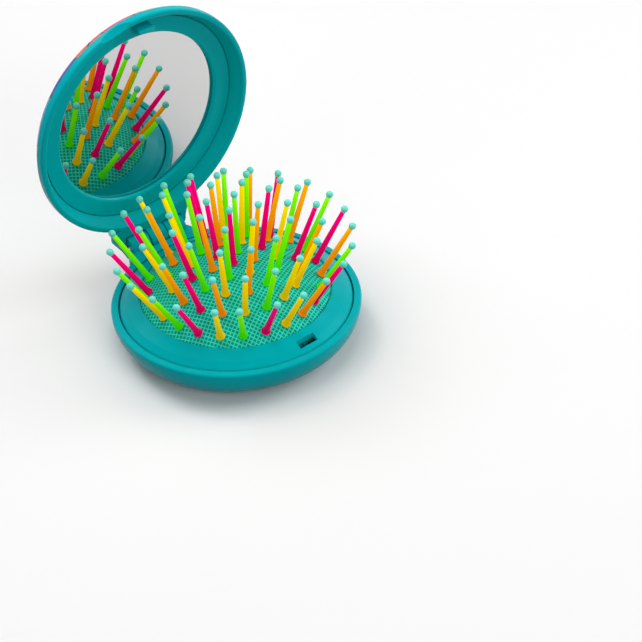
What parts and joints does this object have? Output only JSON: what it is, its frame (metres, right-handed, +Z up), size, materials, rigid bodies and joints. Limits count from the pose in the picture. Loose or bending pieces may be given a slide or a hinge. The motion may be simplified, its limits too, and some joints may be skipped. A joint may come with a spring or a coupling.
{
  "type": "folding hairbrush with mirror",
  "caption": "Round pocket hairbrush in a hinged case: domed pad with coloured ball-tipped pins, push button under the base, round mirror in the lid.",
  "frame": {"origin": "centre of the base's flat foot, on the surface that the brush stands on", "axes": "+Z up, +Y from the case's centre toward the hinge, +X to the right when looking along +Y; the hinge's axis is along X"},
  "size_m": [0.072, 0.0854, 0.0883],
  "materials": {
    "case_teal": "satin moulded teal plastic",
    "dark_teal": "satin moulded teal plastic, inside",
    "pad_green": "soft aqua-green sheet with a woven look",
    "pin_pink": "glossy pink nylon",
    "pin_green": "glossy green nylon",
    "pin_yellow": "glossy yellow nylon",
    "pin_orange": "glossy orange nylon",
    "tip_aqua": "glossy dipped aqua ball",
    "steel": "drawn steel wire",
    "print": "glossy printed cover in rainbow colours",
    "silver": "silvered flat glass",
    "tape": "white foam tape"
  },
  "bodies": {
    "base": {"base_shell": "case_teal", "retainer_plate": "dark_teal", "trim_ring": "case_teal", "latch_catch": "dark_teal", "cushion_pad": "pad_green", "pins_pink": "pin_pink", "pins_green": "pin_green", "pins_yellow": "pin_yellow", "pins_orange": "pin_orange", "pin_tips": "tip_aqua"},
    "button": {"push_button": "case_teal"},
    "lid": {"lid_shell": "case_teal", "printed_cover": "print", "mirror_bezel": "case_teal", "mirror_glass": "silver", "mirror_tape": "tape", "latch_hook": "case_teal", "hinge_pin": "steel"}
  },
  "joints": [
    {"name": "lid_hinge", "type": "hinge", "parent": "base", "child": "lid", "pos_m": [0, 0.0408, 0.0115], "axis": [1, 0, 0], "range_deg": [0, 87], "deforming": ["cushion_pad", "pins_pink", "pins_green", "pins_yellow", "pins_orange", "pin_tips"]},
    {"name": "button_slide", "type": "slide", "parent": "base", "child": "button", "axis": [0, 0, -1], "range_m": [0, 0.0081]}
  ],
  "couplings": [
    {"joint": "button_slide", "follows": "lid_hinge", "m_per_rad": 0.00533}
  ]
}
